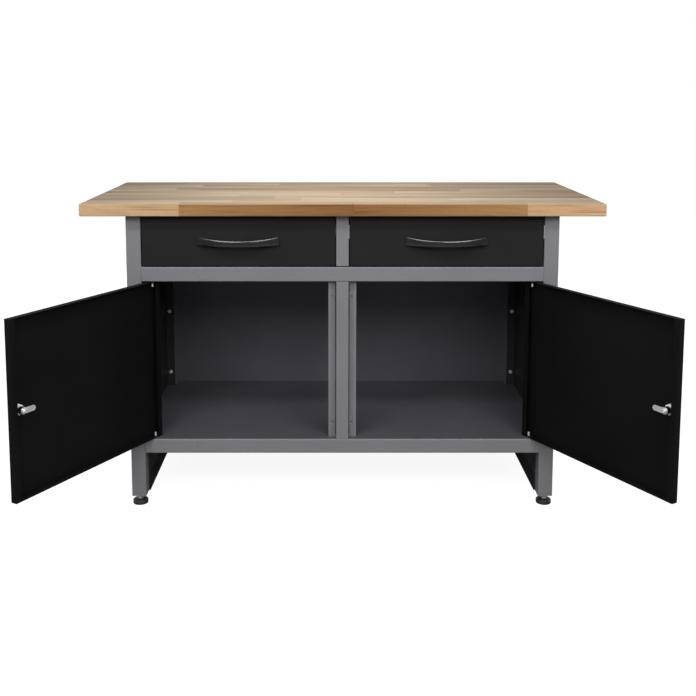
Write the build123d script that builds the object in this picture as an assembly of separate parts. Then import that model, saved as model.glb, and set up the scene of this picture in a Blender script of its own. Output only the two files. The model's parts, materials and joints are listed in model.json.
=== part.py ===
from build123d import *
import os

# Workbench with two drawers over a two-door cabinet.
# Millimetres. X runs left to right, -Y is the front, +Z is up.
# The origin is on the floor, under the middle of the frame.

# ---------------------------------------------------------------- overall
BENCH_HEIGHT = 850
TOP_LENGTH = 1400
TOP_DEPTH = 600
TOP_THICK = 33
TOP_ROUND = 1.5
TOP_BITE = 18
FRAME_WIDTH = 1170
FRAME_DEPTH = 530
TUBE = 40
TUBE_WALL = 1.8
TUBE_ROUND = 3
SHEET = 1.0
POST_SHEET = 1.5
FIT = 0.05
GAP = 3

# ---------------------------------------------------------------- levels
LEG_BOTTOM = 27
BOTTOM_RAIL_Z = 151
TOP_RAIL_Z = 634
TOP_Z = BENCH_HEIGHT - TOP_THICK
THIN_RAIL = 20

# ---------------------------------------------------------------- places that follow
HALF_W = FRAME_WIDTH / 2
FRONT = -FRAME_DEPTH / 2
REAR = FRAME_DEPTH / 2
LEG_INNER = HALF_W - TUBE
RAIL_BACK = FRONT + TUBE
REAR_RAIL_FRONT = REAR - TUBE
BOTTOM_RAIL_TOP = BOTTOM_RAIL_Z + TUBE
FLOOR_TOP = BOTTOM_RAIL_TOP + SHEET
TOP_RAIL_TOP = TOP_RAIL_Z + TUBE

# ---------------------------------------------------------------- centre posts
POST_HALF = 17
POST_DEPTH = 22
POST_BEND = 2
STOP_HALF = 38
STOP_HEM = 8
STOP_SLIT = 2.5
STOP_SLIT_END = 6
STOP_HOLE_R = 2.2
STOP_HOLE_X = 26
STOP_HOLE_INSET = 44
POST_BACK = FRONT + POST_DEPTH

# ---------------------------------------------------------------- side, back and floor sheets
SIDE_SKIN_X = 567
SIDE_FLANGE = 26
SLIDE_NOTCH_HALF = 20
BACK_INSET = 2
FLOOR_FLANGE = 25
FLOOR_GAP = 1

# ---------------------------------------------------------------- screws
# each size: head radius, head height, shank radius, length under the head
SIDE_BOLT = (6, 3.5, 3, 12)
BACK_SCREW = (4.5, 2.5, 2.1, 12)
TOP_SCREW = (5, 2.5, 2.5, SHEET + THIN_RAIL + TOP_BITE)
HANDLE_SCREW = (4, 2.5, 2, 6)
TRAY_SCREW = (3.5, 2, 1.75, 6)
SLIDE_SCREW = (3.5, 1.6, 1.75, 3.2)
CAM_SCREW = (4.5, 3, 2, 10)
FLUSH_SCREW_R = 2.5
FLUSH_SCREW_LEG = 9
FLUSH_SCREW_DIVIDER = 6
SOCKET_SHARE = 0.45
SIDE_BOLT_X = 555
SIDE_BOLT_LEVELS = (235, 437, 640)
BACK_SCREW_LEVELS = (210, 400, 590, 780)
BACK_SCREW_PLACES = (-300, 0, 300)
TOP_SCREW_PLACES = (-150, 0, 150)
SLIDE_SCREW_PLACES = (-200, 0, 180)
LEG_SCREW_INSET = 8

# ---------------------------------------------------------------- levelling feet
PAD_R = 21
PAD_H = 14
PAD_SHOULDER = 4
PAD_EDGE = 1.5
PAD_SOCKET = 8
STUD_R = 5
STUD_TOP = 68
STUD_CHAMFER = 1
COLLAR_AF = 14
COLLAR_H = 6
FOOT_NUT_AF = 17
FOOT_NUT_H = 6.4
END_PLATE = 3

# ---------------------------------------------------------------- doors
DOOR_DEPTH = 18
DOOR_LIP = 15
DOOR_BEND = 1.5
PIN_INBOARD = 27
PIN_BEHIND = 12.5
PIN_R = 3
BUSH_R = 4.5
BUSH_FLANGE_R = 5.4
BUSH_FLANGE_T = 0.8
BUSH_REACH = 5
PIN_COLLAR_T = 0.8
PIN_GRIP = 12
PIN_REACH = 16
HINGE_SIDE = 22
FREE_GAP = 2.5
REST_OPEN_DEG = 120
DOOR_GAP = 2
DOOR_BOTTOM = BOTTOM_RAIL_TOP + DOOR_GAP
DOOR_TOP = TOP_RAIL_Z - DOOR_GAP
PIN_X = LEG_INNER - PIN_INBOARD
PIN_Y = FRONT + PIN_BEHIND

# ---------------------------------------------------------------- cam locks
LOCK_FROM_EDGE = 29
LOCK_Z = 410
LOCK_FACE_R = 12
LOCK_FACE_T = 2
LOCK_FACE_ROUND = 0.8
LOCK_R = 9
LOCK_LENGTH = 22
BARREL_NUT_AF = 24
BARREL_NUT_T = 5
PLUG_R = 6
CAM_LENGTH = 33
CAM_WIDTH = 13
CAM_T = 2.5
CAM_GAP = 0.5
KEY_SLOT = (2, 8, 3)

# ---------------------------------------------------------------- drawers
DRAWER_GAP = 3
DRAWER_FRONT_DEPTH = 18
DRAWER_LIP_SIDES = 30
DRAWER_LIP_ENDS = 15
TRAY_JOIN_INSET = 9
TRAY_JOIN_INSET_Z = 25
TRAY_BOTTOM = 690
TRAY_TOP = 788
TRAY_BACK = 208
HEM = (3, 8)
SLIDE_Z = 770
SLIDE_LENGTH = 450
SLIDE_THICK = 12.7
SLIDE_SHEET = 1.2
SLIDE_TAB_END = REAR - 18
SLIDE_TAB_HALF = 6
SLIDE_NOSE_INSET = 3
SLIDE_NOSE_REACH = 2.5
DIVIDER_BOTTOM = 745

# each member: half height, and the web's and the flanges' reach from the cabinet wall
OUTER_MEMBER = (17.5, (0, 1.2), (1.2, 10))
MIDDLE_MEMBER = (14.6, (2.2, 3.4), (3.4, 10.5))
INNER_MEMBER = (11.8, (11.5, 12.7), (5, 11.5))

# ---------------------------------------------------------------- bow handles
HANDLE_LENGTH = 221
HANDLE_HEIGHT = 24
HANDLE_REACH = 31
HANDLE_BAND = 8
HANDLE_FOOT = 22
HANDLE_SHOULDER = 6
HANDLE_ROUND = 2
HANDLE_DIP = 7
HANDLE_BOTTOM = 733.5
HANDLE_SCREW_Z = 744
HANDLE_SCREW_SPACING = 192

os.makedirs("parts", exist_ok=True)


# ================================================================ helpers
def block(x, y, z):
    """A box between two limits on each axis."""
    size = [hi - lo for lo, hi in (x, y, z)]
    middle = [(lo + hi) / 2 for lo, hi in (x, y, z)]
    return Pos(*middle) * Box(*size)


def disc(r, z0, z1, x=0, y=0):
    """An upright cylinder between two heights."""
    return Pos(x, y, (z0 + z1) / 2) * Cylinder(r, z1 - z0)


def rod(r, start, along, length):
    """A cylinder from a start point along a direction."""
    plane = Plane(origin=start, z_dir=along)
    return plane * Pos(0, 0, length / 2) * Cylinder(r, length)


def hexagon(across_flats, z0, z1, x=0, y=0):
    """An upright hexagonal prism."""
    outline = RegularPolygon(across_flats / 2, 6, major_radius=False)
    return Pos(x, y, z0) * extrude(outline, z1 - z0)


def square_tube(x, y, z, axis):
    """A hollow tube with rounded corners, open at both ends along the axis."""
    limits = [x, y, z]
    run = "XYZ".index(axis)
    outer = block(*limits)
    outer = fillet(outer.edges().filter_by(Axis(*AXIS_LINES[axis])), TUBE_ROUND)
    bore = [(lo, hi) if i == run else (lo + TUBE_WALL, hi - TUBE_WALL) for i, (lo, hi) in enumerate(limits)]
    inner = block(*bore)
    inner = fillet(inner.edges().filter_by(Axis(*AXIS_LINES[axis])), TUBE_ROUND - TUBE_WALL)
    return outer - inner


AXIS_LINES = {
    "X": ((0, 0, 0), (1, 0, 0)),
    "Y": ((0, 0, 0), (0, 1, 0)),
    "Z": ((0, 0, 0), (0, 0, 1)),
}


def pan(x, y, z, sheet, lip_sides, lip_ends):
    """A folded sheet tray whose skin is its low-Y face; lips stand in from its open edge."""
    outer = block(x, y, z)
    skin_edges = outer.edges().filter_by(GeomType.LINE).group_by(Axis.Y)[0]
    outer = fillet(skin_edges, DOOR_BEND)
    cavity = block(
        (x[0] + sheet, x[1] - sheet),
        (y[0] + sheet, y[1] - sheet),
        (z[0] + sheet, z[1] - sheet),
    )
    mouth = block(
        (x[0] + max(lip_sides, sheet), x[1] - max(lip_sides, sheet)),
        (y[1] - sheet, y[1]),
        (z[0] + max(lip_ends, sheet), z[1] - max(lip_ends, sheet)),
    )
    return outer - cavity - mouth


def screw(size, start, along):
    """A pan-head screw: its head stands back from the start point, its shank runs along."""
    head_r, head_h, shank_r, length = size
    plane = Plane(origin=start, z_dir=along)
    head = Pos(0, 0, -head_h / 2) * Cylinder(head_r, head_h)
    head = fillet(head.edges().group_by(Axis.Z)[0], head_h * SOCKET_SHARE)
    socket = Pos(0, 0, -head_h) * extrude(RegularPolygon(head_r * SOCKET_SHARE, 6), head_h / 2)
    shank = Pos(0, 0, length / 2) * Cylinder(shank_r, length)
    return plane * (head - socket + shank)


def cut_for(part, fasteners):
    """The part with the holes that its fasteners pass through."""
    for fastener in fasteners:
        part = part - fastener
    return part


def other_side(shape):
    """The same piece on the right-hand side."""
    return mirror(shape, about=Plane.YZ)


def save(name, shape):
    """Writes one node; a list of pieces becomes one group of separate solids."""
    if isinstance(shape, list):
        shape = Compound(children=[Solid(s.solid().wrapped) for s in shape])
    export_step(shape, f"parts/{name}.step")


# ================================================================ worktop and frame
def make_worktop():
    slab = block((-TOP_LENGTH / 2, TOP_LENGTH / 2), (-TOP_DEPTH / 2, TOP_DEPTH / 2), (TOP_Z, BENCH_HEIGHT))
    return fillet(slab.edges(), TOP_ROUND)


def make_leg(side, front):
    x = (-HALF_W, -LEG_INNER) if side < 0 else (LEG_INNER, HALF_W)
    y = (FRONT, RAIL_BACK) if front else (REAR_RAIL_FRONT, REAR)
    return square_tube(x, y, (LEG_BOTTOM, TOP_Z), "Z")


def make_cross_rail(y, z):
    return square_tube((-LEG_INNER, LEG_INNER), y, z, "X")


def make_side_top_rail():
    return square_tube((-HALF_W, -LEG_INNER), (RAIL_BACK, REAR_RAIL_FRONT), (TOP_Z - THIN_RAIL, TOP_Z), "Y")


def make_upper_post():
    """A channel between the drawers, open at the back; it hangs just clear of the rail below."""
    z = (TOP_RAIL_TOP + GAP, TOP_Z)
    body = block((-POST_HALF, POST_HALF), (FRONT, POST_BACK), z)
    body = fillet(body.edges().filter_by(Axis.Z).group_by(Axis.Y)[0], POST_BEND)
    return body - block((-POST_HALF + POST_SHEET, POST_HALF - POST_SHEET), (FRONT + POST_SHEET, POST_BACK), z)


def make_lower_post():
    """A hat section between the doors; its two hemmed and slit brims are the door stops."""
    z = (BOTTOM_RAIL_TOP, TOP_RAIL_Z)
    hat = block((-POST_HALF, POST_HALF), (FRONT, POST_BACK), z)
    hat = fillet(hat.edges().filter_by(Axis.Z).group_by(Axis.Y)[0], POST_BEND)
    stop_z = (FLOOR_TOP, TOP_RAIL_Z)
    brim = block((-STOP_HALF, STOP_HALF), (POST_BACK - POST_SHEET, POST_BACK), stop_z)
    inside = block((-POST_HALF + POST_SHEET, POST_HALF - POST_SHEET), (FRONT + POST_SHEET, POST_BACK), z)
    post = hat + brim - inside
    hem_y = (POST_BACK - 2 * POST_SHEET, POST_BACK - POST_SHEET)
    slit_z = (FLOOR_TOP + STOP_SLIT_END, TOP_RAIL_Z - STOP_SLIT_END)
    for side in (-1, 1):
        post += block(sorted((side * (STOP_HALF - STOP_HEM), side * STOP_HALF)), hem_y, stop_z)
        slit_x = sorted((side * POST_HALF, side * (POST_HALF + STOP_SLIT)))
        post -= block(slit_x, (POST_BACK - POST_SHEET, POST_BACK), slit_z)
    for x in (-STOP_HOLE_X, STOP_HOLE_X):
        for level in (BOTTOM_RAIL_TOP + STOP_HOLE_INSET, TOP_RAIL_Z - STOP_HOLE_INSET):
            post -= rod(STOP_HOLE_R, (x, FRONT, level), (0, 1, 0), 2 * POST_DEPTH)
    return post


def make_drawer_divider():
    """An inverted channel from the upper post to the rear rail; it carries both middle slides."""
    top = TOP_Z - THIN_RAIL
    body = block((-POST_HALF, POST_HALF), (POST_BACK, REAR_RAIL_FRONT), (DIVIDER_BOTTOM, top))
    return body - block(
        (-POST_HALF + POST_SHEET, POST_HALF - POST_SHEET),
        (POST_BACK, REAR_RAIL_FRONT),
        (DIVIDER_BOTTOM, top - POST_SHEET),
    )


def make_side_panel():
    """A tray between the left legs, its four flanges turned in and notched for the drawer slide."""
    x = (-SIDE_SKIN_X, -SIDE_SKIN_X + SIDE_FLANGE)
    y = (RAIL_BACK, REAR_RAIL_FRONT)
    z = (LEG_BOTTOM, TOP_Z - THIN_RAIL)
    tray = block(x, y, z)
    tray -= block((x[0] + SHEET, x[1]), (y[0] + SHEET, y[1] - SHEET), (z[0] + SHEET, z[1] - SHEET))
    notch = (-LEG_INNER - GAP, x[1])
    return tray - block(notch, y, (SLIDE_Z - SLIDE_NOTCH_HALF, SLIDE_Z + SLIDE_NOTCH_HALF))


def make_side_bolts():
    """The six bolts that hold the left side panel's upright flanges to its legs."""
    bolts = []
    for level in SIDE_BOLT_LEVELS:
        bolts.append(screw(SIDE_BOLT, (-SIDE_BOLT_X, RAIL_BACK + SHEET, level), (0, -1, 0)))
        bolts.append(screw(SIDE_BOLT, (-SIDE_BOLT_X, REAR_RAIL_FRONT - SHEET, level), (0, 1, 0)))
    return bolts


def make_back_panel():
    """A plain sheet screwed to the rear legs and rails."""
    half = HALF_W - BACK_INSET
    return block((-half, half), (REAR, REAR + SHEET), (BOTTOM_RAIL_Z + BACK_INSET, TOP_Z - BACK_INSET))


def make_back_screws():
    leg_middle = HALF_W - TUBE / 2
    rail_middles = (BOTTOM_RAIL_Z + TUBE / 2, TOP_Z - TUBE / 2)
    places = [(x, z) for x in (-leg_middle, leg_middle) for z in BACK_SCREW_LEVELS]
    places += [(x, z) for x in BACK_SCREW_PLACES for z in rail_middles]
    return [screw(BACK_SCREW, (x, REAR + SHEET, z), (0, -1, 0)) for x, z in places]


def make_cabinet_floor():
    """A sheet laid over both rails, its sides turned down; cut round the legs, the post and the pins."""
    half_x = SIDE_SKIN_X - SHEET
    sheet_z = (BOTTOM_RAIL_TOP, FLOOR_TOP)
    floor = block((-half_x, half_x), (FRONT + TUBE_ROUND, REAR), sheet_z)
    notch_x = SIDE_SKIN_X - SIDE_FLANGE - FLOOR_GAP
    notch_y = REAR_RAIL_FRONT - SHEET - FLOOR_GAP
    for side in (-1, 1):
        corner_x = sorted((side * notch_x, side * half_x))
        for y in ((FRONT, -notch_y), (notch_y, REAR)):
            floor -= block(corner_x, y, sheet_z)
        flange_x = sorted((side * (half_x - SHEET), side * half_x))
        floor += block(flange_x, (-notch_y, notch_y), (BOTTOM_RAIL_TOP - FLOOR_FLANGE, BOTTOM_RAIL_TOP))
        floor -= disc(BUSH_FLANGE_R + FLOOR_GAP, *sheet_z, side * PIN_X, PIN_Y)
    post_half = POST_HALF + FLOOR_GAP
    return floor - block((-post_half, post_half), (FRONT, POST_BACK + FLOOR_GAP), sheet_z)


def make_worktop_screws():
    """Long screws up through the side panel's flange and the side rail into the worktop."""
    below = TOP_Z - THIN_RAIL - SHEET
    places = [(x, y, below) for x in (-SIDE_BOLT_X, SIDE_BOLT_X) for y in TOP_SCREW_PLACES]
    return [screw(TOP_SCREW, place, (0, 0, 1)) for place in places]


# ================================================================ levelling feet
FOOT_PLACES = {
    "front_left": (-HALF_W + TUBE / 2, FRONT + TUBE / 2),
    "front_right": (HALF_W - TUBE / 2, FRONT + TUBE / 2),
    "rear_left": (-HALF_W + TUBE / 2, REAR - TUBE / 2),
    "rear_right": (HALF_W - TUBE / 2, REAR - TUBE / 2),
}


def make_end_plate(x, y):
    """The threaded plate welded inside the foot of a leg."""
    half = TUBE / 2 - TUBE_WALL
    plate = block((x - half, x + half), (y - half, y + half), (LEG_BOTTOM, LEG_BOTTOM + END_PLATE))
    plate = fillet(plate.edges().filter_by(Axis.Z), TUBE_ROUND - TUBE_WALL)
    return plate - disc(STUD_R + FIT, LEG_BOTTOM, LEG_BOTTOM + END_PLATE, x, y)


def make_foot_nut(x, y):
    """The nut that locks a stud against its leg."""
    nut = hexagon(FOOT_NUT_AF, LEG_BOTTOM - FOOT_NUT_H, LEG_BOTTOM, x, y)
    return nut - disc(STUD_R + FIT, LEG_BOTTOM - FOOT_NUT_H, LEG_BOTTOM, x, y)


def make_pad(x, y):
    """A round moulded pad with a domed shoulder, closed on the stud's lower end."""
    pad = disc(PAD_R, 0, PAD_H, x, y)
    pad = fillet(pad.edges().group_by(Axis.Z)[-1], PAD_SHOULDER)
    pad = fillet(pad.edges().group_by(Axis.Z)[0], PAD_EDGE)
    return pad - disc(STUD_R, PAD_H - PAD_SOCKET, PAD_H, x, y)


def make_stud(x, y):
    """The threaded stud, with the hexagon that a spanner turns."""
    stud = disc(STUD_R, PAD_H - PAD_SOCKET, STUD_TOP, x, y)
    stud = chamfer(stud.edges().group_by(Axis.Z)[-1], STUD_CHAMFER)
    return stud + hexagon(COLLAR_AF, PAD_H, PAD_H + COLLAR_H, x, y)


# ================================================================ doors and locks
LOCK_X = -POST_HALF - FREE_GAP - LOCK_FROM_EDGE
LOCK_BACK = FRONT + LOCK_LENGTH


def opened(shape):
    """Turns a left-door piece from closed to its open rest pose about the hinge pins."""
    return Pos(-PIN_X, PIN_Y, 0) * Rot(0, 0, -REST_OPEN_DEG) * Pos(PIN_X, -PIN_Y, 0) * shape


def make_door_panel():
    """A folded pan with a return lip down each upright edge, holed for its bushes and lock."""
    x = (-PIN_X - HINGE_SIDE, -POST_HALF - FREE_GAP)
    door = pan(x, (FRONT, FRONT + DOOR_DEPTH), (DOOR_BOTTOM, DOOR_TOP), SHEET, DOOR_LIP, 0)
    for level in (DOOR_BOTTOM, DOOR_TOP - SHEET):
        door -= disc(BUSH_R, level, level + SHEET, -PIN_X, PIN_Y)
    return door - rod(LOCK_R, (LOCK_X, FRONT, LOCK_Z), (0, 1, 0), SHEET)


def make_bush(end, inwards):
    """A flanged nylon bush: the flange is outside the pan, the sleeve reaches into it."""
    flange = sorted((end - inwards * BUSH_FLANGE_T, end))
    sleeve = sorted((end, end + inwards * BUSH_REACH))
    bush = disc(BUSH_FLANGE_R, *flange, -PIN_X, PIN_Y) + disc(BUSH_R, *sleeve, -PIN_X, PIN_Y)
    return bush - disc(PIN_R + FIT, min(flange + sleeve), max(flange + sleeve), -PIN_X, PIN_Y)


def make_hinge_pins():
    """The left door's two pins, each fixed in a wall of its rail."""
    lower = disc(PIN_R, BOTTOM_RAIL_TOP - PIN_GRIP, BOTTOM_RAIL_TOP + PIN_REACH, -PIN_X, PIN_Y)
    lower += disc(BUSH_FLANGE_R, BOTTOM_RAIL_TOP, BOTTOM_RAIL_TOP + PIN_COLLAR_T, -PIN_X, PIN_Y)
    upper = disc(PIN_R, TOP_RAIL_Z - PIN_REACH, TOP_RAIL_Z + PIN_GRIP, -PIN_X, PIN_Y)
    return [lower, upper]


def make_lock_housing():
    """The lock's barrel with its round face outside the door."""
    face = rod(LOCK_FACE_R, (LOCK_X, FRONT - LOCK_FACE_T, LOCK_Z), (0, 1, 0), LOCK_FACE_T)
    face = fillet(face.edges().group_by(Axis.Y)[0], LOCK_FACE_ROUND)
    barrel = rod(LOCK_R, (LOCK_X, FRONT, LOCK_Z), (0, 1, 0), LOCK_LENGTH)
    bore = rod(PLUG_R + FIT, (LOCK_X, FRONT - LOCK_FACE_T, LOCK_Z), (0, 1, 0), LOCK_LENGTH + LOCK_FACE_T)
    return face + barrel - bore


def make_barrel_nut():
    """The hexagon nut that clamps the barrel against the inside of the door skin."""
    plane = Plane(origin=(LOCK_X, FRONT + SHEET, LOCK_Z), z_dir=(0, 1, 0))
    nut = plane * extrude(RegularPolygon(BARREL_NUT_AF / 2, 6, major_radius=False), BARREL_NUT_T)
    return nut - rod(LOCK_R, (LOCK_X, FRONT, LOCK_Z), (0, 1, 0), LOCK_LENGTH)


def make_lock_plug():
    """The turning plug, with a key slot in its face; it ends level with the barrel."""
    front = FRONT - LOCK_FACE_T
    plug = rod(PLUG_R, (LOCK_X, front, LOCK_Z), (0, 1, 0), LOCK_BACK + CAM_GAP - front)
    wide, tall, deep = KEY_SLOT
    slot = Pos(LOCK_X, front + deep / 2, LOCK_Z) * Box(wide, deep, tall)
    return plug - slot


def make_lock_cam():
    """A round-ended cam plate that points towards the hinge side while unlocked."""
    y = LOCK_BACK + CAM_GAP
    length = CAM_LENGTH - CAM_WIDTH / 2
    bar = block((LOCK_X - length, LOCK_X), (y, y + CAM_T), (LOCK_Z - CAM_WIDTH / 2, LOCK_Z + CAM_WIDTH / 2))
    for x in (LOCK_X - length, LOCK_X):
        bar += rod(CAM_WIDTH / 2, (x, y, LOCK_Z), (0, 1, 0), CAM_T)
    return bar


def make_cam_screw():
    y = LOCK_BACK + CAM_GAP + CAM_T
    return screw(CAM_SCREW, (LOCK_X, y, LOCK_Z), (0, -1, 0))


# ================================================================ drawers and slides
def slide_member(member, wall_x, towards, y):
    """One folded member of a drawer slide, from its half height and its web and flange reach."""
    half, web, flange = member
    web_x = sorted(wall_x + towards * v for v in web)
    flange_x = sorted(wall_x + towards * v for v in flange)
    part = block(web_x, y, (SLIDE_Z - half, SLIDE_Z + half))
    for low in (SLIDE_Z - half, SLIDE_Z + half - SLIDE_SHEET):
        part += block(flange_x, y, (low, low + SLIDE_SHEET))
    return part


def slide_pair(member):
    """The left drawer's two members of one kind, on the leg side and on the divider side."""
    y = (POST_BACK, POST_BACK + SLIDE_LENGTH)
    return [
        slide_member(member, -LEG_INNER, 1, y),
        slide_member(member, -POST_HALF, -1, y),
    ]


def make_outer_slides():
    """The fixed members; the leg-side one has a tab that reaches the rear leg."""
    leg_side, divider_side = slide_pair(OUTER_MEMBER)
    tab = block(
        (-LEG_INNER, -LEG_INNER + SLIDE_SHEET),
        (POST_BACK + SLIDE_LENGTH, SLIDE_TAB_END),
        (SLIDE_Z - SLIDE_TAB_HALF, SLIDE_Z + SLIDE_TAB_HALF),
    )
    return [leg_side + tab, divider_side]


def make_slide_noses():
    """Narrow front ends of the right drawer's fixed members, which show in the gaps beside its front."""
    member = (OUTER_MEMBER[0], (0, SLIDE_SHEET), (SLIDE_SHEET, SLIDE_NOSE_REACH))
    y = (FRONT + SLIDE_NOSE_INSET, POST_BACK)
    return [slide_member(member, LEG_INNER, -1, y), slide_member(member, POST_HALF, 1, y)]


def make_slide_fixings():
    """Countersunk screws through the fixed members into the legs and the divider."""
    screws = []
    for y in (POST_BACK + LEG_SCREW_INSET, SLIDE_TAB_END - LEG_SCREW_INSET):
        start = (-LEG_INNER + SLIDE_SHEET, y, SLIDE_Z)
        screws.append(rod(FLUSH_SCREW_R, start, (-1, 0, 0), FLUSH_SCREW_LEG))
    for y in SLIDE_SCREW_PLACES:
        start = (-POST_HALF - SLIDE_SHEET, y, SLIDE_Z)
        screws.append(rod(FLUSH_SCREW_R, start, (1, 0, 0), FLUSH_SCREW_DIVIDER))
    return screws


TRAY_X = (-LEG_INNER + SLIDE_THICK, -POST_HALF - SLIDE_THICK)
TRAY_Y = (FRONT + DRAWER_FRONT_DEPTH, TRAY_BACK)
DRAWER_MIDDLE = -(LEG_INNER + POST_HALF) / 2


def make_drawer_front():
    x = (-LEG_INNER + DRAWER_GAP, -POST_HALF - DRAWER_GAP)
    z = (TOP_RAIL_TOP + DRAWER_GAP, TOP_Z - DRAWER_GAP)
    return pan(x, (FRONT, FRONT + DRAWER_FRONT_DEPTH), z, SHEET, DRAWER_LIP_SIDES, DRAWER_LIP_ENDS)


def make_drawer_tray():
    """The open tray, with its side walls hemmed along the top."""
    z = (TRAY_BOTTOM, TRAY_TOP)
    inside_x = (TRAY_X[0] + SHEET, TRAY_X[1] - SHEET)
    inside_y = (TRAY_Y[0] + SHEET, TRAY_Y[1] - SHEET)
    tray = block(TRAY_X, TRAY_Y, z) - block(inside_x, inside_y, (z[0] + SHEET, z[1]))
    width, drop = HEM
    for x in ((inside_x[0], TRAY_X[0] + width), (TRAY_X[1] - width, inside_x[1])):
        tray += block(x, inside_y, (z[1] - drop, z[1]))
    return tray


def make_handle():
    """A bow handle: a band that bends forward between two feet and narrows to its middle."""
    half = HANDLE_LENGTH / 2
    inner = half - HANDLE_FOOT
    inside = ThreePointArc((-inner, 0), (0, -HANDLE_REACH + HANDLE_BAND), (inner, 0))
    outside = ThreePointArc((half, -HANDLE_SHOULDER), (0, -HANDLE_REACH), (-half, -HANDLE_SHOULDER))
    outline = Polyline((-half, -HANDLE_SHOULDER), (-half, 0), (-inner, 0)) + inside
    outline += Polyline((inner, 0), (half, 0), (half, -HANDLE_SHOULDER)) + outside
    bow = extrude(make_face(outline), HANDLE_HEIGHT)
    bow = fillet(bow.edges().filter_by(Axis.Z).group_by(Axis.Y)[0], HANDLE_ROUND)
    dip_r = (half ** 2 + HANDLE_DIP ** 2) / (2 * HANDLE_DIP)
    dip = rod(dip_r, (0, -2 * HANDLE_REACH, HANDLE_HEIGHT - HANDLE_DIP + dip_r), (0, 1, 0), 3 * HANDLE_REACH)
    return Pos(DRAWER_MIDDLE, FRONT, HANDLE_BOTTOM) * (bow - dip)


def make_drawer_fasteners():
    """Handle screws from inside the front, and the screws that join tray, front and slides."""
    screws = []
    for x in (-HANDLE_SCREW_SPACING / 2, HANDLE_SCREW_SPACING / 2):
        start = (DRAWER_MIDDLE + x, FRONT + SHEET, HANDLE_SCREW_Z)
        screws.append(screw(HANDLE_SCREW, start, (0, -1, 0)))
    for x in (TRAY_X[0] + TRAY_JOIN_INSET, TRAY_X[1] - TRAY_JOIN_INSET):
        for z in (TRAY_BOTTOM + TRAY_JOIN_INSET_Z, TRAY_TOP - TRAY_JOIN_INSET_Z):
            screws.append(screw(TRAY_SCREW, (x, TRAY_Y[0] + SHEET, z), (0, -1, 0)))
    for y in SLIDE_SCREW_PLACES:
        screws.append(screw(SLIDE_SCREW, (TRAY_X[0] + SHEET, y, SLIDE_Z), (-1, 0, 0)))
        screws.append(screw(SLIDE_SCREW, (TRAY_X[1] - SHEET, y, SLIDE_Z), (1, 0, 0)))
    return screws


# ================================================================ assembly
side_bolts = make_side_bolts()
side_bolts += [other_side(b) for b in side_bolts]
back_screws = make_back_screws()
worktop_screws = make_worktop_screws()
slide_fixings = make_slide_fixings()
slide_fixings += [other_side(s) for s in slide_fixings]
hinge_pins = make_hinge_pins()
hinge_pins += [other_side(p) for p in hinge_pins]
frame_fasteners = side_bolts + back_screws + slide_fixings

# worktop and frame
save("worktop", cut_for(make_worktop(), worktop_screws))
for name, side, front in (
    ("leg_front_left", -1, True),
    ("leg_front_right", 1, True),
    ("leg_rear_left", -1, False),
    ("leg_rear_right", 1, False),
):
    save(name, cut_for(make_leg(side, front), frame_fasteners))

front_y = (FRONT, RAIL_BACK)
rear_y = (REAR_RAIL_FRONT, REAR)
bottom_z = (BOTTOM_RAIL_Z, BOTTOM_RAIL_TOP)
save("front_middle_rail", cut_for(make_cross_rail(front_y, (TOP_RAIL_Z, TOP_RAIL_TOP)), hinge_pins))
save("front_bottom_rail", cut_for(make_cross_rail(front_y, bottom_z), hinge_pins))
save("front_upper_rail", make_cross_rail((POST_BACK, POST_BACK + THIN_RAIL), (TOP_Z - THIN_RAIL, TOP_Z)))
save("rear_top_rail", cut_for(make_cross_rail(rear_y, (TOP_Z - TUBE, TOP_Z)), back_screws))
save("rear_bottom_rail", cut_for(make_cross_rail(rear_y, bottom_z), back_screws))
side_rail = make_side_top_rail()
save("side_top_rails", [cut_for(r, worktop_screws) for r in (side_rail, other_side(side_rail))])
save("centre_post_upper", make_upper_post())
save("centre_post_lower", make_lower_post())
save("drawer_divider", cut_for(make_drawer_divider(), slide_fixings))

# sheets
side_panel = make_side_panel()
save("side_panel_left", cut_for(side_panel, side_bolts + worktop_screws))
save("side_panel_right", cut_for(other_side(side_panel), side_bolts + worktop_screws))
save("back_panel", cut_for(make_back_panel(), back_screws))
save("cabinet_floor", make_cabinet_floor())

# fasteners of the frame
save("side_panel_bolts", side_bolts)
save("back_panel_screws", back_screws)
save("worktop_screws", worktop_screws)
save("slide_fixing_screws", slide_fixings)
save("door_hinge_pins", hinge_pins)

# levelling feet
save("leg_end_plates", [make_end_plate(*place) for place in FOOT_PLACES.values()])
save("foot_lock_nuts", [make_foot_nut(*place) for place in FOOT_PLACES.values()])
for name, place in FOOT_PLACES.items():
    save(f"foot_pad_{name}", make_pad(*place))
    save(f"foot_stud_{name}", make_stud(*place))

# doors and locks
cam_screw = make_cam_screw()
bushes = [make_bush(DOOR_BOTTOM, 1), make_bush(DOOR_TOP, -1)]
door_pieces = {
    "door_panel": make_door_panel(),
    "lock_housing": make_lock_housing(),
    "lock_barrel_nut": make_barrel_nut(),
    "lock_plug": make_lock_plug() - cam_screw,
    "lock_cam": make_lock_cam() - cam_screw,
    "lock_cam_screw": cam_screw,
}
for name, piece in door_pieces.items():
    save(f"{name}_left", opened(piece))
    save(f"{name}_right", other_side(opened(piece)))
save("door_bushes_left", [opened(b) for b in bushes])
save("door_bushes_right", [other_side(opened(b)) for b in bushes])

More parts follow.
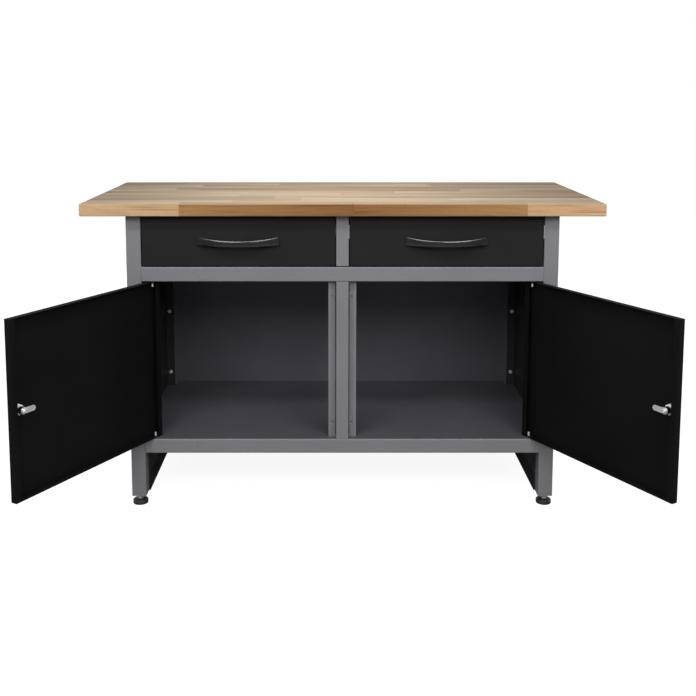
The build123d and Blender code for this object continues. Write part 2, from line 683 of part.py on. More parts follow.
# drawers and slides
left_slides = make_outer_slides()
right_slides = [other_side(s) + nose for s, nose in zip(left_slides, make_slide_noses())]
save("outer_slides", [cut_for(s, slide_fixings) for s in left_slides + right_slides])
drawer_fasteners = make_drawer_fasteners()
inner_slides = [cut_for(s, drawer_fasteners) for s in slide_pair(INNER_MEMBER)]
drawer_pieces = {
    "drawer_front": cut_for(make_drawer_front(), drawer_fasteners),
    "drawer_tray": cut_for(make_drawer_tray(), drawer_fasteners),
    "drawer_handle": cut_for(make_handle(), drawer_fasteners),
}
for name, piece in drawer_pieces.items():
    save(f"{name}_left", piece)
    save(f"{name}_right", other_side(piece))
for name, pieces in (
    ("drawer_fasteners", drawer_fasteners),
    ("inner_slides", inner_slides),
    ("middle_slides", slide_pair(MIDDLE_MEMBER)),
):
    save(f"{name}_left", pieces)
    save(f"{name}_right", [other_side(p) for p in pieces])
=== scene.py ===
import json
import math
import random

import bmesh
import bpy
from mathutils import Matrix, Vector


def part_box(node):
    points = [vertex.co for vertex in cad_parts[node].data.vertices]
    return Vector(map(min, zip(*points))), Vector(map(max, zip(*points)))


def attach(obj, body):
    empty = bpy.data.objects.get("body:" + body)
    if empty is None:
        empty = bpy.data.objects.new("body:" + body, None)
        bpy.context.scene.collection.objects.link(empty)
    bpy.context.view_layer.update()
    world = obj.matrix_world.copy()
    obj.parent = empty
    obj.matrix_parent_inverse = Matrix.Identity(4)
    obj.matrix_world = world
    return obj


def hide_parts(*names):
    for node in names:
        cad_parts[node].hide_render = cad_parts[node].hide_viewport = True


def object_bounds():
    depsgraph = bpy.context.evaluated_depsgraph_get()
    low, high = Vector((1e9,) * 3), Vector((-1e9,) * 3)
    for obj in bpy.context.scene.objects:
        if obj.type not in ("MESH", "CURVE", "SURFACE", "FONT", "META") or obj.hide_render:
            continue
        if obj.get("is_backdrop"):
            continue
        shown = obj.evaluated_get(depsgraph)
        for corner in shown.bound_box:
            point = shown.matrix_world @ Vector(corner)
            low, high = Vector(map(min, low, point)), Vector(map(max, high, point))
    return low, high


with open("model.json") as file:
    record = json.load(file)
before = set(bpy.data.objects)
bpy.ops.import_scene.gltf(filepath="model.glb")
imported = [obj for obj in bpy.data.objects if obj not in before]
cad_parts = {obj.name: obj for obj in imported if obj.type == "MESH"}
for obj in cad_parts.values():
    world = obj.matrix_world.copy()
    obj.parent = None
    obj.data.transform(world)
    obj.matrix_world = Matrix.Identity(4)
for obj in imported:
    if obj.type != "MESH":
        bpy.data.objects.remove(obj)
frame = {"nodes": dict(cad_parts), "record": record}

# Sizes and places are in metres, angles in degrees where a name says so, and tones are linear colours.
NODES = frame["nodes"]
SLOT_OF = {part["node"]: part["material_slot"] for part in frame["record"]["subparts"]}
CAD_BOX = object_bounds()
SIDES = (("left", -1), ("right", 1))
FEET = ("front_left", "front_right", "rear_left", "rear_right")
SAME_PLACE = 1e-6


# ---------------------------------------------------------------- node helpers
def new_material(name):
    """A material with an empty principled shader: (material, node tree, shader)."""
    mat = bpy.data.materials.new(name)
    mat.use_nodes = True
    return mat, mat.node_tree, mat.node_tree.nodes["Principled BSDF"]


def add(tree, kind, settings=None, **inputs):
    """Adds one node. Inputs are given by socket name, with _ for a space, or by number as i0, i1, i2."""
    node = tree.nodes.new(kind)
    for key, value in (settings or {}).items():
        setattr(node, key, value)
    for key, value in inputs.items():
        name = int(key[1:]) if key[0] == "i" and key[1:].isdigit() else key.replace("_", " ")
        plug(tree, node.inputs[name], value)
    return node


def plug(tree, socket, value):
    """Gives a socket a value of its own, or links another node's output to it."""
    if isinstance(value, bpy.types.NodeSocket):
        tree.links.new(value, socket)
    else:
        socket.default_value = value


def maths(tree, operation, a, b=0.0, clamp=False):
    node = add(tree, "ShaderNodeMath", {"operation": operation, "use_clamp": clamp}, i0=a, i1=b)
    return node.outputs[0]


def vector_maths(tree, operation, *terms):
    inputs = {f"i{number}": term for number, term in enumerate(terms)}
    node = add(tree, "ShaderNodeVectorMath", {"operation": operation}, **inputs)
    return node.outputs["Value" if operation == "LENGTH" else "Vector"]


def attribute(tree, name):
    return add(tree, "ShaderNodeAttribute", {"attribute_name": name}).outputs["Fac"]


def ramp(tree, fac, stops):
    """A colour ramp from (position, colour) stops."""
    node = add(tree, "ShaderNodeValToRGB", Fac=fac)
    elements = node.color_ramp.elements
    while len(elements) < len(stops):
        elements.new(0.5)
    for element, (position, colour) in zip(elements, stops):
        element.position = position
        element.color = (*colour, 1.0)
    return node.outputs["Color"]


def mix(tree, fac, a, b, blend="MIX"):
    """Two colours mixed; each is an output or three numbers."""
    node = add(tree, "ShaderNodeMix", {"data_type": "RGBA", "blend_type": blend})
    plug(tree, node.inputs[0], fac)
    plug(tree, node.inputs[6], a if isinstance(a, bpy.types.NodeSocket) else (*a, 1.0))
    plug(tree, node.inputs[7], b if isinstance(b, bpy.types.NodeSocket) else (*b, 1.0))
    return node.outputs[2]


def tinted(tree, fac, colour, tint):
    """The colour multiplied by the tint, as far as the factor says."""
    return mix(tree, fac, colour, mix(tree, 1.0, colour, tint, "MULTIPLY"))


def stretched(tree, vector, scale):
    return add(tree, "ShaderNodeMapping", Vector=vector, Scale=scale).outputs["Vector"]


def place(tree, scale=(1, 1, 1)):
    """Object coordinates in metres, stretched."""
    return stretched(tree, add(tree, "ShaderNodeTexCoord").outputs["Object"], scale)


def noise(tree, scale, vector=None, detail=3.0):
    vector = vector or place(tree)
    node = add(tree, "ShaderNodeTexNoise", Vector=vector, Scale=scale, Detail=detail, Roughness=0.55)
    return node.outputs["Fac"]


def spread(tree, fac, low, high):
    """Maps a noise's usual 0.3..0.7 to low..high."""
    node = add(tree, "ShaderNodeMapRange", Value=fac, From_Min=0.3, From_Max=0.7, To_Min=low, To_Max=high)
    return node.outputs["Result"]


def smooth_step(tree, value, start, end, height=1.0):
    """Rises softly from 0 at start to the height at end."""
    soft = {"interpolation_type": "SMOOTHSTEP"}
    node = add(tree, "ShaderNodeMapRange", soft, Value=value, From_Min=start, From_Max=end, To_Max=height)
    return node.outputs["Result"]


def bump(tree, height, strength, distance):
    return add(tree, "ShaderNodeBump", Height=height, Strength=strength, Distance=distance).outputs["Normal"]


# ---------------------------------------------------------------- paint, metal and plastic
PEEL_DEPTH = 0.0004
MARK_DEPTH = 0.0003
MARKS_ACROSS = 700.0
MARKS_ALONG = 25.0
COAT_ROUGHNESS = 0.12
COAT_IOR = 1.75


def powder_coat(name, dark, light, rough, peel, speckle, gloss=0.5):
    """Baked powder paint: a fine orange peel, a little cloudiness, and dust-fine specks."""
    mat, tree, shader = new_material(name)
    cloud = noise(tree, 5.0, detail=4.0)
    specks = noise(tree, 1400.0, detail=1.0)
    tone = mix(tree, spread(tree, cloud, 0.15, 0.85), dark, light)
    grain = ramp(tree, specks, [(0.3, (1 - speckle,) * 3), (0.7, (1 + speckle,) * 3)])
    plug(tree, shader.inputs["Base Color"], mix(tree, 1.0, tone, grain, "MULTIPLY"))
    smear = noise(tree, 14.0, place(tree, (1, 1, 0.4)), detail=5.0)
    plug(tree, shader.inputs["Roughness"], spread(tree, smear, rough - 0.03, rough + 0.04))
    orange = noise(tree, 520.0, detail=2.0)
    plug(tree, shader.inputs["Normal"], bump(tree, orange, peel, PEEL_DEPTH))
    shader.inputs["Specular IOR Level"].default_value = gloss
    return mat


def plated(name, dark, light, rough, along, brush=0.12, metal=1.0):
    """Plated steel with faint drawing marks along one axis and cloudy plating."""
    mat, tree, shader = new_material(name)
    cloud = noise(tree, 60.0, detail=4.0)
    plug(tree, shader.inputs["Base Color"], mix(tree, spread(tree, cloud, 0, 1), dark, light))
    stretch = [MARKS_ALONG if axis == along else MARKS_ACROSS for axis in "xyz"]
    marks = noise(tree, 1.0, place(tree, stretch))
    plug(tree, shader.inputs["Roughness"], spread(tree, marks, rough - 0.08, rough + 0.1))
    plug(tree, shader.inputs["Normal"], bump(tree, marks, brush, MARK_DEPTH))
    shader.inputs["Metallic"].default_value = metal
    return mat


def moulded(name, dark, light, rough, grain_scale, grain, shine=0.0):
    """Moulded plastic or nylon with a fine leathery grain; shine is a polished skin over it."""
    mat, tree, shader = new_material(name)
    cloud = noise(tree, 25.0)
    plug(tree, shader.inputs["Base Color"], mix(tree, spread(tree, cloud, 0, 1), dark, light))
    cells = add(tree, "ShaderNodeTexVoronoi", Vector=place(tree), Scale=grain_scale).outputs["Distance"]
    plug(tree, shader.inputs["Roughness"], spread(tree, cloud, rough - 0.05, rough + 0.05))
    plug(tree, shader.inputs["Normal"], bump(tree, cells, grain, MARK_DEPTH))
    shader.inputs["Coat Weight"].default_value = shine
    shader.inputs["Coat Roughness"].default_value = COAT_ROUGHNESS
    shader.inputs["Coat IOR"].default_value = COAT_IOR
    return mat


# ---------------------------------------------------------------- wood
EDGE_TONES = ((0.0, (0.14, 0.053, 0.012)), (0.5, (0.335, 0.19, 0.083)), (1.0, (0.55, 0.375, 0.22)))
# Top-face tones, greyer and paler than the edge tones: a painted sheen of the light from above.
SHEENED_TOP_TONES = ((0.0, (0.195, 0.147, 0.101)), (0.5, (0.284, 0.23, 0.168)), (1.0, (0.362, 0.306, 0.238)))
PITH_SPREAD = (9.0, 0.24, 0.3)
PITH_FROM = (0, -0.12, -0.95)
BEND_SCALE = (2.2, 9, 9)
BEND = (0, 0.03, 0.03)
RINGS_PER_METRE = 230.0
LATE_WOOD = (0.45, 0.95)
VEINS = (0.55, 0.7)
FIBRE_SCALE = (14, 520, 520)
STREAK_SCALE = (1.6, 55, 55)
VEIN_SCALE = (2.6, 120, 120)
FLECK_SCALE = (170, 1500, 1500)
LATE_TINT = (0.68, 0.56, 0.46)
STREAK_TINT = (1.26, 1.22, 1.16)
FIBRE_TINT = (0.66, 0.58, 0.52)
VEIN_TINT = (0.55, 0.42, 0.33)
FLECK_BROWN = (0.13, 0.065, 0.03)
FLECKS_ABOVE = 0.66
WOOD_GLOSS = 0.03
WOOD_RELIEF = 0.12
RELIEF_DEPTH = 0.0004


def stave_coordinates(tree):
    """Object coordinates moved so that every stave has a pith of its own."""
    coords = add(tree, "ShaderNodeTexCoord").outputs["Object"]
    dice = add(tree, "ShaderNodeTexWhiteNoise", {"noise_dimensions": "1D"}, W=attribute(tree, "seed"))
    pith = vector_maths(tree, "MULTIPLY_ADD", dice.outputs["Color"], PITH_SPREAD, PITH_FROM)
    return vector_maths(tree, "ADD", coords, pith)


def late_wood(tree, local):
    """The darker part of each yearly ring; the rings are bent a little."""
    warp = add(tree, "ShaderNodeTexNoise", Vector=stretched(tree, local, BEND_SCALE), Scale=1.0, Detail=3.0)
    bent = vector_maths(tree, "MULTIPLY_ADD", warp.outputs["Color"], BEND, local)
    radius = vector_maths(tree, "LENGTH", vector_maths(tree, "MULTIPLY", bent, (0, 1, 1)))
    wave = maths(tree, "FRACT", maths(tree, "MULTIPLY", radius, RINGS_PER_METRE))
    return smooth_step(tree, wave, *LATE_WOOD)


def stave_tone(tree):
    """The stave's own tone, warm on the edges; the top faces are painted greyer and paler, a painted sheen
    of the light from above.
    """
    normal = add(tree, "ShaderNodeNewGeometry").outputs["Normal"]
    upward = add(tree, "ShaderNodeSeparateXYZ", Vector=normal).outputs["Z"]
    # Upward-facing faces take the greyer top tones: painted sheen.
    top_sheen_mask = maths(tree, "MULTIPLY", upward, upward, clamp=True)
    tone = attribute(tree, "tone")
    return mix(tree, top_sheen_mask, ramp(tree, tone, EDGE_TONES), ramp(tree, tone, SHEENED_TOP_TONES))


def beech_wood():
    """Oiled beech staves: rings about a pith of each stave's own, fibres, streaks, veins and flecks."""
    mat, tree, shader = new_material("beech")
    local = stave_coordinates(tree)
    late = late_wood(tree, local)
    fibre = noise(tree, 1.0, stretched(tree, local, FIBRE_SCALE), detail=4.0)
    streak = noise(tree, 1.0, stretched(tree, local, STREAK_SCALE), detail=4.0)
    vein = noise(tree, 1.0, stretched(tree, local, VEIN_SCALE), detail=2.0)
    fleck = noise(tree, 1.0, stretched(tree, local, FLECK_SCALE), detail=1.0)
    body = stave_tone(tree)
    body = tinted(tree, maths(tree, "MULTIPLY", late, 0.22), body, LATE_TINT)
    body = tinted(tree, spread(tree, streak, 0.0, 0.8), body, STREAK_TINT)
    body = tinted(tree, spread(tree, fibre, 0.0, 0.24), body, FIBRE_TINT)
    body = tinted(tree, smooth_step(tree, vein, *VEINS, height=0.7), body, VEIN_TINT)
    dash = maths(tree, "GREATER_THAN", fleck, FLECKS_ABOVE)
    body = mix(tree, maths(tree, "MULTIPLY", dash, 0.4), body, FLECK_BROWN)
    plug(tree, shader.inputs["Base Color"], body)
    plug(tree, shader.inputs["Roughness"], spread(tree, streak, 0.5, 0.62))
    relief = maths(tree, "ADD", maths(tree, "MULTIPLY", fibre, 0.6), maths(tree, "MULTIPLY", late, -0.25))
    plug(tree, shader.inputs["Normal"], bump(tree, relief, WOOD_RELIEF, RELIEF_DEPTH))
    shader.inputs["Specular IOR Level"].default_value = WOOD_GLOSS
    return mat


# ---------------------------------------------------------------- the materials
MATERIALS = {
    "beech": beech_wood(),
    "frame_paint": powder_coat(
        "frame_paint", (0.19, 0.19, 0.203), (0.218, 0.218, 0.232),
        rough=0.3, peel=0.1, speckle=0.06,
    ),
    "panel_paint": powder_coat(
        "panel_paint", (0.079, 0.079, 0.093), (0.101, 0.101, 0.117),
        rough=0.42, peel=0.12, speckle=0.06, gloss=0.35,
    ),
    "black_paint": powder_coat(
        "black_paint", (0.0145, 0.0145, 0.0148), (0.019, 0.019, 0.0195),
        rough=0.5, peel=0.16, speckle=0.14, gloss=0.1,
    ),
    # The doors' paint is the drawers' black paint made about three times darker: painted shade on the opened
    # doors' faces.
    "door_black": powder_coat(
        "door_black", (0.0052, 0.0052, 0.0054), (0.0075, 0.0075, 0.0078),
        rough=0.5, peel=0.16, speckle=0.16, gloss=0.07,
    ),
    "side_black": powder_coat(
        "side_black", (0.025, 0.025, 0.027), (0.032, 0.032, 0.034),
        rough=0.45, peel=0.16, speckle=0.1, gloss=0.2,
    ),
    "handle_black": moulded(
        "handle_black", (0.006, 0.006, 0.0063), (0.009, 0.009, 0.0093),
        rough=0.3, grain_scale=1500.0, grain=0.02, shine=1.0,
    ),
    "black_zinc": plated(
        "black_zinc", (0.05, 0.05, 0.055), (0.09, 0.09, 0.095),
        rough=0.4, along="z",
    ),
    "bright_zinc": plated(
        "bright_zinc", (0.78, 0.8, 0.81), (0.9, 0.91, 0.9),
        rough=0.42, along="y", metal=0.7,
    ),
    "lock_chrome": plated(
        "lock_chrome", (0.92, 0.92, 0.91), (0.97, 0.97, 0.96),
        rough=0.3, along="z", brush=0.05, metal=0.15,
    ),
    "lock_mirror": plated(
        "lock_mirror", (0.5, 0.5, 0.51), (0.62, 0.62, 0.63),
        rough=0.16, along="z", brush=0.05,
    ),
    "foot_plastic": moulded(
        "foot_plastic", (0.014, 0.014, 0.014), (0.022, 0.022, 0.022),
        rough=0.5, grain_scale=900.0, grain=0.2,
    ),
    "nylon": moulded(
        "nylon", (0.02, 0.02, 0.02), (0.03, 0.03, 0.03),
        rough=0.55, grain_scale=1100.0, grain=0.12,
    ),
}


def material_of(node):
    """The material of the node's slot; a lock's housing alone is polished enough to mirror the dark door."""
    return MATERIALS["lock_mirror" if node.startswith("lock_housing") else SLOT_OF[node]]


# ---------------------------------------------------------------- mesh helpers
def finish_mesh(name, bm, material, smooth_deg=35.0):
    """Turns a bmesh into a piece with its own material, smooth below the given angle."""
    bmesh.ops.recalc_face_normals(bm, faces=bm.faces)
    mesh = bpy.data.meshes.new(name)
    bm.to_mesh(mesh)
    bm.free()
    mesh.materials.append(material)
    mesh.shade_smooth()
    mesh.set_sharp_from_angle(angle=math.radians(smooth_deg))
    piece = bpy.data.objects.new(name, mesh)
    bpy.context.scene.collection.objects.link(piece)
    return piece


def add_bevel(piece, width, segments=3, angle=40.0):
    """Rounds the edges that are sharper than the angle, in degrees."""
    modifier = piece.modifiers.new("bevel", "BEVEL")
    modifier.width = width
    modifier.segments = segments
    modifier.limit_method = "ANGLE"
    modifier.angle_limit = math.radians(angle)
    return modifier


def spoke(bm, centre, radius, angle, height):
    """A vertex at a radius and an angle about a vertical axis."""
    return bm.verts.new((centre[0] + radius * math.cos(angle), centre[1] + radius * math.sin(angle), height))


def skin(bm, rings):
    """Faces between each closed ring of vertices and the next."""
    for low, high in zip(rings, rings[1:]):
        for i in range(len(low)):
            j = (i + 1) % len(low)
            bm.faces.new((low[i], low[j], high[j], high[i]))


def lathe(bm, profile, centre, steps=48):
    """Spins (radius, height) points about a vertical axis; the first and the last lie on it."""
    turn = 2 * math.pi / steps
    rings = [[spoke(bm, centre, r, turn * i, z) for i in range(steps)] for r, z in profile[1:-1]]
    skin(bm, rings)
    bottom, top = (bm.verts.new((*centre, profile[end][1])) for end in (0, -1))
    for i in range(steps):
        j = (i + 1) % steps
        bm.faces.new((bottom, rings[0][j], rings[0][i]))
        bm.faces.new((rings[-1][i], rings[-1][j], top))


# ---------------------------------------------------------------- worktop
SEED = 11
STAVE_ROWS = 13
FRONT_ROW = ((-0.435, 0.98, 0.86), (0.03, 0.5, 0.2), (0.491, 0.24, 0.52), (None, 0.84, 0.98))
TONE_RANGE = (0.12, 0.92)
FIRST_JOINT = (0.15, 0.7)
STAVE_LENGTH = (0.38, 0.8)
SHORTEST_STAVE = 0.2
SEED_STEP = 1.37
ARRIS = 0.0022
SEAM = 0.00025


def stave_rows(low, high):
    """(x limits, y limits, end tones) of every stave; the front row is given, the others are random."""
    dice = random.Random(SEED)
    step = (high.y - low.y) / STAVE_ROWS
    for row in range(STAVE_ROWS):
        if row == 0:
            staves = [(high.x if x is None else x, start, end) for x, start, end in FRONT_ROW]
        else:
            staves = []
            x = low.x + dice.uniform(*FIRST_JOINT)
            while x < high.x - SHORTEST_STAVE:
                staves.append((x, dice.uniform(*TONE_RANGE), dice.uniform(*TONE_RANGE)))
                x += dice.uniform(*STAVE_LENGTH)
            staves.append((high.x, dice.uniform(*TONE_RANGE), dice.uniform(*TONE_RANGE)))
        y0 = low.y + row * step
        x0 = low.x
        for x1, start, end in staves:
            yield (x0, x1), (y0, y0 + step), (start, end)
            x0 = x1


def edge_weight(edge, low, high):
    """The full arris on the board's outer edges, and only a hair of it along the glue lines."""
    middle = (edge.verts[0].co + edge.verts[1].co) / 2
    outer = sum(min(abs(m - a), abs(m - b)) < SAME_PLACE for m, a, b in zip(middle, low, high))
    return 1.0 if outer == 2 else SEAM / ARRIS


def make_worktop():
    """Glued staves, each its own block; only the board's outer edges carry the eased arris."""
    low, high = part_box("worktop")
    bm = bmesh.new()
    tone_layer = bm.loops.layers.float.new("tone")
    seed_layer = bm.faces.layers.float.new("seed")
    weight = bm.edges.layers.float.new("bevel_weight_edge")
    for number, (x, y, tones) in enumerate(stave_rows(low, high)):
        verts = bmesh.ops.create_cube(bm, size=1.0)["verts"]
        for v in verts:
            v.co = Vector((x[v.co.x > 0], y[v.co.y > 0], (low.z, high.z)[v.co.z > 0]))
        for face in {f for v in verts for f in v.link_faces}:
            face[seed_layer] = number * SEED_STEP
            for loop in face.loops:
                loop[tone_layer] = tones[abs(loop.vert.co.x - x[1]) < SAME_PLACE]
        for edge in {e for v in verts for e in v.link_edges}:
            edge[weight] = edge_weight(edge, low, high)
    piece = finish_mesh("worktop_staves", bm, MATERIALS["beech"])
    add_bevel(piece, ARRIS, 4).limit_method = "WEIGHT"
    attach(piece, "frame")
    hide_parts("worktop")


# ---------------------------------------------------------------- handles
HANDLE_STEPS = 64
CORNER_STEPS = 6
HANDLE_CORNER = 0.0025
HANDLE_CROWN = 0.0048
HANDLE_FLAT = 0.0008
HANDLE_PINCH = 0.003
PINCH_FROM = 0.95
HANDLE_THICK = 0.008
HANDLE_END = 0.006
HANDLE_FOOT = 0.022
HANDLE_DIP = 0.007
HANDLE_BEVEL = 0.0015


def make_handle(side):
    """A bow handle: a rounded band that leaves its foot, bows forward and dips in height at the middle."""
    node = f"drawer_handle_{side}"
    low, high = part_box(node)
    middle = (low.x + high.x) / 2
    half = (high.x - low.x) / 2
    reach = high.y - low.y
    bm = bmesh.new()
    loops = []
    for i in range(HANDLE_STEPS + 1):
        t = -1 + 2 * i / HANDLE_STEPS
        rise = 1 - t * t
        front = high.y - HANDLE_END - (reach - HANDLE_END) * rise
        inner_t = min(1.0, abs(t) * half / (half - HANDLE_FOOT))
        back = high.y - (reach - HANDLE_THICK) * (1 - inner_t * inner_t)
        pinch = HANDLE_PINCH * max(0.0, (abs(t) - PINCH_FROM) / (1 - PINCH_FROM)) ** 2
        top = high.z - HANDLE_DIP * rise - pinch
        crown = HANDLE_FLAT + (HANDLE_CROWN - HANDLE_FLAT) * (1 - t ** 4)
        loops.append(rounded_section(bm, middle + t * half, front, back, low.z + pinch, top, crown))
    skin(bm, loops)
    bm.faces.new(loops[0])
    bm.faces.new(reversed(loops[-1]))
    piece = finish_mesh(f"bow_handle_{side}", bm, MATERIALS["handle_black"], 50.0)
    add_bevel(piece, HANDLE_BEVEL, 3, 60.0)
    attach(piece, f"drawer_{side}")
    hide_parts(node)


def rounded_section(bm, x, y0, y1, z0, z1, crown):
    """A rounded rectangle across the handle at one place, with the crown on its upper front edge."""
    thick = y1 - y0
    small = min(HANDLE_CORNER, thick * 0.3)
    crown = min(crown, thick * 0.65)
    corners = (
        (y0 + small, z0 + small, small, 180),
        (y1 - small, z0 + small, small, 270),
        (y1 - small, z1 - small, small, 0),
        (y0 + crown, z1 - crown, crown, 90),
    )
    verts = []
    for cy, cz, r, start in corners:
        for k in range(CORNER_STEPS + 1):
            a = math.radians(start + 90 * k / CORNER_STEPS)
            verts.append(bm.verts.new((x, cy + r * math.cos(a), cz + r * math.sin(a))))
    return verts


# ---------------------------------------------------------------- feet
PAD_EDGE = ((0.0022, 0.0), (0.0006, 0.0007), (0.0, 0.0022))
PAD_GROOVES = (0.0045, 0.0068)
GROOVE = 0.0006
PAD_SHOULDER = ((0.0, 0.0094), (0.0007, 0.0108), (0.0024, 0.0122), (0.005, 0.0131))
PAD_COLLAR = (0.0125, 0.0137)
PAD_RIM = 0.0105
SOCKET_R = 0.0051
SOCKET_DEPTH = 0.004
THREAD_PITCH = 0.0015
THREAD_DEPTH = 0.0009
THREAD_SIDES = 24
RINGS_PER_TURN = 4
STUD_R = 0.00495
STUD_END = 0.001
HEX_HEIGHT = 0.006
HEX_CORNER_R = 0.00808
HEX_END_R = HEX_CORNER_R * 0.93
HEX_CUT = HEX_CORNER_R * 0.06


def pad_profile(radius, top):
    """(radius, height) up the pad: rounded lower edge, grip grooves, domed shoulder, collar, stud socket."""
    profile = [(0, 0)] + [(radius - inset, z) for inset, z in PAD_EDGE]
    for groove in PAD_GROOVES:
        profile += [(radius, groove - GROOVE), (radius - GROOVE, groove), (radius, groove + GROOVE)]
    profile += [(radius - inset, z) for inset, z in PAD_SHOULDER]
    socket = top - SOCKET_DEPTH
    return profile + [PAD_COLLAR, (PAD_RIM, top), (SOCKET_R, top), (SOCKET_R, socket), (0, socket)]


def make_foot(place_name):
    """The round pad, and the stud that stands in it."""
    pad_node, stud_node = f"foot_pad_{place_name}", f"foot_stud_{place_name}"
    low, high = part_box(pad_node)
    centre = ((low.x + high.x) / 2, (low.y + high.y) / 2)
    bm = bmesh.new()
    lathe(bm, pad_profile((high.x - low.x) / 2, high.z), centre)
    pad = finish_mesh(f"levelling_pad_{place_name}", bm, MATERIALS["foot_plastic"], 40.0)
    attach(pad, f"foot_{place_name}")
    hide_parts(pad_node)
    make_stud(stud_node, place_name, centre, high.z)


def make_stud(node, place_name, centre, bottom):
    """A cut thread that climbs as it turns, above a hexagon with chamfered corners."""
    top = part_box(node)[1].z - STUD_END
    base = bottom + HEX_HEIGHT
    turns = int((top - base) / THREAD_PITCH)
    bm = bmesh.new()
    rings = []
    for k in range(turns * RINGS_PER_TURN + 1):
        turn = k / RINGS_PER_TURN
        fade = min(1.0, turn, turns - turn)
        ring = []
        for i in range(THREAD_SIDES):
            phase = (turn - i / THREAD_SIDES) % 1.0
            radius = STUD_R - THREAD_DEPTH * abs(2 * phase - 1) * fade
            angle = 2 * math.pi * i / THREAD_SIDES
            ring.append(spoke(bm, centre, radius, angle, base + turn * THREAD_PITCH))
        rings.append(ring)
    skin(bm, rings)
    bm.faces.new(reversed(rings[0]))
    bm.faces.new(rings[-1])
    add_hexagon(bm, centre, bottom, base)
    stud = finish_mesh(f"levelling_stud_{place_name}", bm, MATERIALS["bright_zinc"], 30.0)
    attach(stud, f"foot_{place_name}")
    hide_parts(node)


def add_hexagon(bm, centre, z0, z1):
    """A hexagonal prism whose corners are turned down at both ends."""
    levels = ((z0, HEX_END_R), (z0 + HEX_CUT, HEX_CORNER_R), (z1 - HEX_CUT, HEX_CORNER_R), (z1, HEX_END_R))
    rings = [[spoke(bm, centre, r, math.pi * k / 3, z) for k in range(6)] for z, r in levels]
    skin(bm, rings)
    bm.faces.new(reversed(rings[0]))
    bm.faces.new(rings[-1])


# ---------------------------------------------------------------- stage, light and camera
FLOOR_SIZE = 60.0
FLOOR_ROUGHNESS = 0.8
FLOOR_GLOW = 0.9
FLOOR_SEEN = 0.3
FLOOR_BOUNCE = 0.25
SKY_SEEN = 1.0
SKY_LIGHT = 0.32
WHITE = (1.0, 1.0, 1.0, 1.0)
CAMERA_PLACE = (-0.0295, -2.8123, 1.1526)
CAMERA_DOWN_DEG = 6.73
SENSOR_WIDTH = 36.0
LENS = 49.42
SHIFT_X = 0.0236
SHIFT_Y = -0.21
CLIP_END = 100.0


def seen_or_lit(tree, seen, lit):
    """One value where the camera looks straight at the surface, another for the light it gives off."""
    straight = add(tree, "ShaderNodeLightPath").outputs["Is Camera Ray"]
    node = add(tree, "ShaderNodeMapRange", Value=straight, To_Min=lit, To_Max=seen)
    return node.outputs["Result"]


def make_stage():
    """A white sweep: nearly shadowless to look at, and a mild bounce of light from below."""
    half = FLOOR_SIZE / 2
    mesh = bpy.data.meshes.new("floor")
    corners = [(-half, -half, 0), (half, -half, 0), (half, half, 0), (-half, half, 0)]
    mesh.from_pydata(corners, [], [(0, 1, 2, 3)])
    mat, tree, shader = new_material("pale_floor")
    tone = seen_or_lit(tree, FLOOR_SEEN, FLOOR_BOUNCE)
    grey = add(tree, "ShaderNodeCombineColor", Red=tone, Green=tone, Blue=tone).outputs["Color"]
    plug(tree, shader.inputs["Base Color"], grey)
    plug(tree, shader.inputs["Emission Strength"], seen_or_lit(tree, FLOOR_GLOW, 0.0))
    shader.inputs["Emission Color"].default_value = WHITE
    shader.inputs["Roughness"].default_value = FLOOR_ROUGHNESS
    shader.inputs["Specular IOR Level"].default_value = 0.0
    mesh.materials.append(mat)
    floor = bpy.data.objects.new("floor", mesh)
    bpy.context.scene.collection.objects.link(floor)
    floor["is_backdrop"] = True


def soft_light(name, at, towards, size, power):
    """A rectangular softbox that the camera doesn't see."""
    data = bpy.data.lights.new(name, "AREA")
    data.shape = "RECTANGLE"
    data.size, data.size_y = size
    data.energy = power
    light = bpy.data.objects.new(name, data)
    light.visible_camera = False
    light.location = at
    light.rotation_mode = "QUATERNION"
    light.rotation_quaternion = (Vector(towards) - Vector(at)).to_track_quat("-Z", "Y")
    bpy.context.scene.collection.objects.link(light)


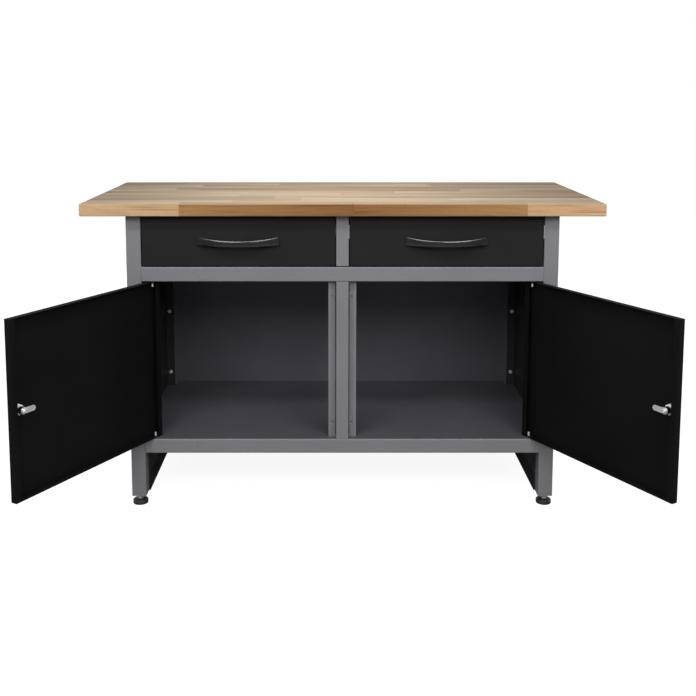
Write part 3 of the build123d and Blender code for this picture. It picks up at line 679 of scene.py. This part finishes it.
def make_world():
    """A white sky to look at, which lights the bench only mildly."""
    world = bpy.data.worlds.new("studio")
    world.use_nodes = True
    tree = world.node_tree
    background = tree.nodes["Background"]
    background.inputs["Color"].default_value = WHITE
    plug(tree, background.inputs["Strength"], seen_or_lit(tree, SKY_SEEN, SKY_LIGHT))
    bpy.context.scene.world = world


def make_lights():
    """Softboxes above, in front and beside, and a low one behind that stays under the worktop's plane."""
    soft_light("overhead", at=(0, -0.15, 1.6), towards=(0, -0.15, 0.85), size=(0.4, 0.3), power=9.0)
    soft_light("strip", at=(0, -1.35, 2.1), towards=(0, -0.3, 0.75), size=(3.2, 0.25), power=17.0)
    for name, sign in SIDES:
        front = (sign * 1.2, -2.9, 2.1)
        soft_light(f"front_{name}", at=front, towards=(0, -0.2, 0.45), size=(1.8, 1.0), power=35.0)
        beside = (sign * 3.0, 0.35, 0.8)
        soft_light(f"side_{name}", at=beside, towards=(sign * 0.7, 0, 0.45), size=(1.2, 0.8), power=13.0)
    soft_light("rear", at=(0, 3.2, 0.45), towards=(0, 0.3, 0.45), size=(4.5, 0.7), power=20.0)


def make_camera():
    """In front and a little above; the frame is shifted down to keep the uprights nearly parallel."""
    data = bpy.data.cameras.new("camera")
    data.sensor_width = SENSOR_WIDTH
    data.lens = LENS
    data.shift_x = SHIFT_X
    data.shift_y = SHIFT_Y
    data.clip_end = CLIP_END
    camera = bpy.data.objects.new("camera", data)
    camera.location = CAMERA_PLACE
    camera.rotation_euler = (math.radians(90 - CAMERA_DOWN_DEG), 0, 0)
    bpy.context.scene.collection.objects.link(camera)
    bpy.context.scene.camera = camera
    bpy.context.scene.view_settings.view_transform = "Standard"


# ---------------------------------------------------------------- build
for node, part in NODES.items():
    part.data.materials.clear()
    part.data.materials.append(material_of(node))
make_worktop()
for side, _ in SIDES:
    make_handle(side)
for foot in FEET:
    make_foot(foot)
make_stage()
make_world()
make_lights()
make_camera()

boxes = {"cad": CAD_BOX, "visual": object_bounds()}
{name: [list(corner) for corner in pair] for name, pair in boxes.items()}
